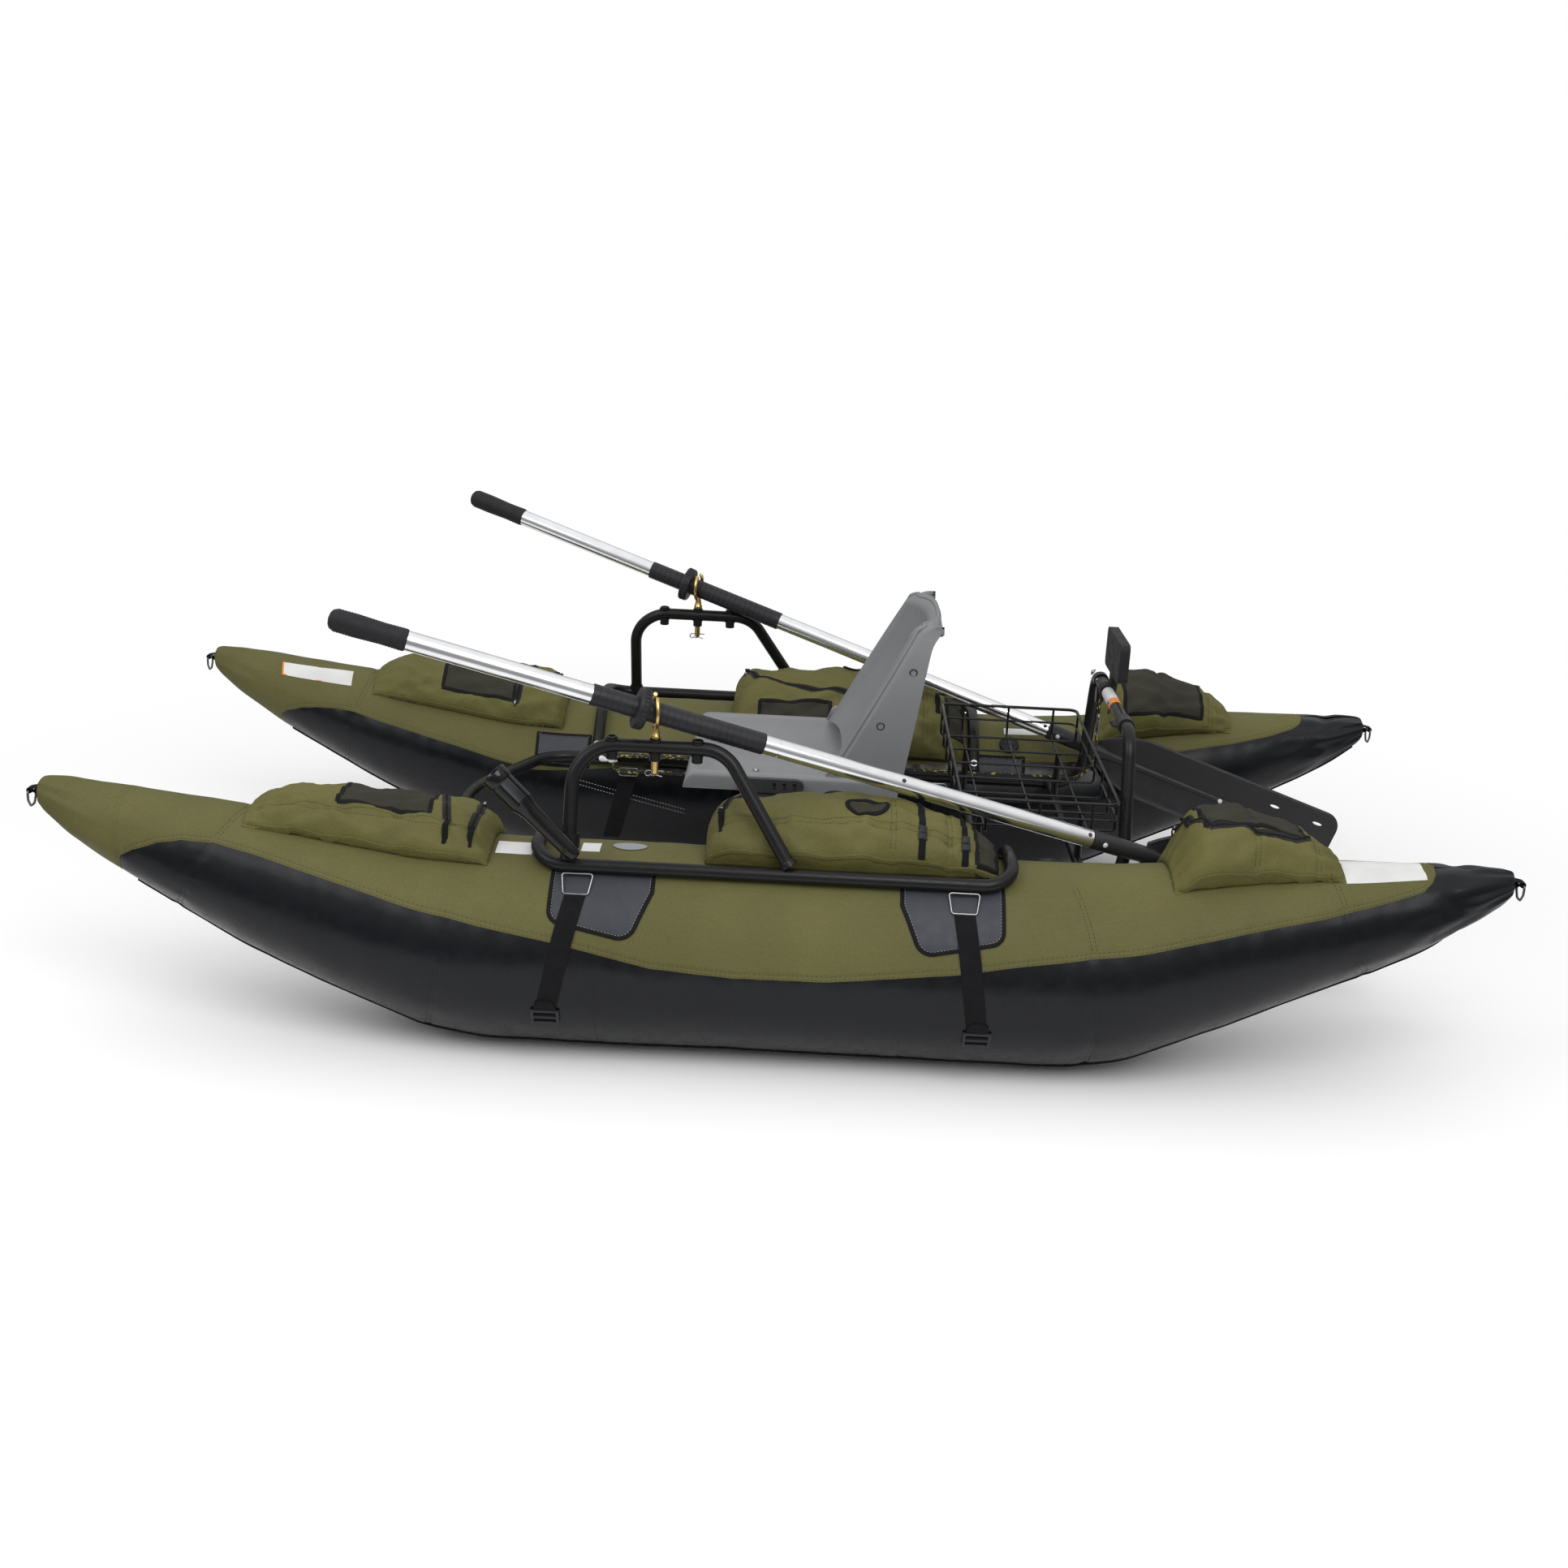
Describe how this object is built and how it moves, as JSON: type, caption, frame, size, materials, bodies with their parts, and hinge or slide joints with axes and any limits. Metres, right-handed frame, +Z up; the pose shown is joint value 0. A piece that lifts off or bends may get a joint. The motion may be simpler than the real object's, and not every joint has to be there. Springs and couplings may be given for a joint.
{
  "type": "inflatable pontoon boat",
  "caption": "One-person inflatable pontoon boat: sewn pontoons, tube frame, folding bucket seat, oars in oarlocks, side bags and a rear wire basket.",
  "frame": {"origin": "under the middle of the boat, on the surface that the pontoons rest on, at the bottom centre of the bounding box", "axes": "+X towards the stern, +Y towards starboard, +Z up"},
  "size_m": [2.7352, 1.381, 0.825],
  "materials": {
    "olive_fabric": "olive coated cloth above, black coated cloth below, sewn",
    "bladder_film": "smooth inflatable film",
    "black_steel": "black powder coat",
    "bright_aluminium": "bright drawn tube",
    "black_plastic": "moulded, satin",
    "grey_plastic": "moulded, satin",
    "brass": "cast and tumbled",
    "bright_steel": "plated",
    "webbing": "woven webbing",
    "pad_vinyl": "vinyl wear pad",
    "rope_black": "braided"
  },
  "bodies": {
    "boat": {"anchor_pulley_bracket": "black_plastic", "anchor_rope": "rope_black", "anchor_rope_hank": "rope_black", "bag_front_port": "olive_fabric", "bag_front_starboard": "olive_fabric", "bag_middle_port": "olive_fabric", "bag_middle_starboard": "olive_fabric", "bag_rear_port": "olive_fabric", "bag_rear_starboard": "olive_fabric", "bladder_port": "bladder_film", "bladder_starboard": "bladder_film", "foot_bar": "black_steel", "frame_pad_front_port": "pad_vinyl", "frame_pad_front_starboard": "pad_vinyl", "frame_pad_rear_port": "pad_vinyl", "frame_pad_rear_starboard": "pad_vinyl", "motor_board": "black_plastic", "notched_cleat": "black_plastic", "oar_arch_port": "black_steel", "oar_arch_starboard": "black_steel", "pontoon_cover_port": "olive_fabric", "pontoon_cover_starboard": "olive_fabric", "rear_frame": "black_steel", "rod_holder_clamp": "black_plastic", "seat_base": "grey_plastic", "seat_frame": "black_steel", "seat_hinge_bolt_port": "bright_steel", "seat_hinge_bolt_starboard": "bright_steel", "seat_side_bracket": "grey_plastic", "side_rail_port": "black_steel", "side_rail_starboard": "black_steel", "strap_front_port": "webbing", "strap_front_starboard": "webbing", "strap_rear_port": "webbing", "strap_rear_starboard": "webbing", "wire_basket": "black_steel"},
    "oarlock_port": {"oarlock_port": "brass", "hairpin_port": "bright_steel"},
    "oar_port": {"oar_grip_port": "black_plastic", "oar_shaft_port": "bright_aluminium", "oar_sleeve_port": "black_plastic", "oar_collar_port": "black_plastic", "oar_blade_port": "black_plastic"},
    "valve_cap_port": {"valve_cap_port": "black_plastic"},
    "tow_ring_bow_port": {"tow_ring_bow_port": "bright_steel"},
    "tow_ring_stern_port": {"tow_ring_stern_port": "bright_steel"},
    "oarlock_starboard": {"oarlock_starboard": "brass", "hairpin_starboard": "bright_steel"},
    "oar_starboard": {"oar_grip_starboard": "black_plastic", "oar_shaft_starboard": "bright_aluminium", "oar_sleeve_starboard": "black_plastic", "oar_collar_starboard": "black_plastic", "oar_blade_starboard": "black_plastic"},
    "valve_cap_starboard": {"valve_cap_starboard": "black_plastic"},
    "tow_ring_bow_starboard": {"tow_ring_bow_starboard": "bright_steel"},
    "tow_ring_stern_starboard": {"tow_ring_stern_starboard": "bright_steel"},
    "seat_back": {"seat_back": "grey_plastic"},
    "rod_holder": {"rod_holder": "black_plastic"},
    "anchor_sheave": {"anchor_sheave": "brass"},
    "snap_hook": {"snap_hook": "bright_steel"}
  },
  "joints": [
    {"name": "oarlock_swing_port", "type": "hinge", "parent": "boat", "child": "oarlock_port", "pos_m": [-0.2185, -0.531, 0.64], "axis": [0, 0, 1], "range_deg": [-0.6, 0.6]},
    {"name": "oar_lift_port", "type": "hinge", "parent": "oarlock_port", "child": "oar_port", "pos_m": [-0.2185, -0.531, 0.64], "axis": [0.1985, -0.9801, 0], "range_deg": [0, 30]},
    {"name": "valve_cap_turn_port", "type": "hinge", "parent": "boat", "child": "valve_cap_port", "pos_m": [0.515, -0.39228, 0.33769], "axis": [0, 0.5878, 0.809], "continuous": true},
    {"name": "tow_ring_bow_port_swing", "type": "hinge", "parent": "boat", "child": "tow_ring_bow_port", "pos_m": [-1.36206, -0.502, 0.4267], "axis": [0, 1, 0], "range_deg": [-25, 100]},
    {"name": "tow_ring_stern_port_swing", "type": "hinge", "parent": "boat", "child": "tow_ring_stern_port", "pos_m": [1.36206, -0.502, 0.39174], "axis": [0, 1, 0], "range_deg": [-100, 25]},
    {"name": "oarlock_swing_starboard", "type": "hinge", "parent": "boat", "child": "oarlock_starboard", "pos_m": [-0.2185, 0.531, 0.64], "axis": [0, 0, 1], "range_deg": [-0.6, 0.6]},
    {"name": "oar_lift_starboard", "type": "hinge", "parent": "oarlock_starboard", "child": "oar_starboard", "pos_m": [-0.2185, 0.531, 0.64], "axis": [-0.1985, -0.9801, 0], "range_deg": [0, 30]},
    {"name": "valve_cap_turn_starboard", "type": "hinge", "parent": "boat", "child": "valve_cap_starboard", "pos_m": [0.515, 0.39228, 0.33769], "axis": [0, -0.5878, 0.809], "continuous": true},
    {"name": "tow_ring_bow_starboard_swing", "type": "hinge", "parent": "boat", "child": "tow_ring_bow_starboard", "pos_m": [-1.36206, 0.502, 0.4267], "axis": [0, 1, 0], "range_deg": [-25, 100]},
    {"name": "tow_ring_stern_starboard_swing", "type": "hinge", "parent": "boat", "child": "tow_ring_stern_starboard", "pos_m": [1.36206, 0.502, 0.39174], "axis": [0, 1, 0], "range_deg": [-100, 25]},
    {"name": "seat_back_fold", "type": "hinge", "parent": "boat", "child": "seat_back", "pos_m": [0.114, 0, 0.45], "axis": [0, -1, 0], "range_deg": [0, 115]},
    {"name": "rod_holder_tilt", "type": "hinge", "parent": "boat", "child": "rod_holder", "pos_m": [-0.364, -0.61878, 0.41], "axis": [0, 1, 0], "range_deg": [-45, 60]},
    {"name": "anchor_sheave_turn", "type": "hinge", "parent": "boat", "child": "anchor_sheave", "pos_m": [0.675, 0.17802, 0.523], "axis": [1, 0, 0], "continuous": true},
    {"name": "snap_hook_swing", "type": "hinge", "parent": "boat", "child": "snap_hook", "pos_m": [0.675, 0.16242, 0.488], "axis": [0, 1, 0], "range_deg": [-20, 20]}
  ]
}
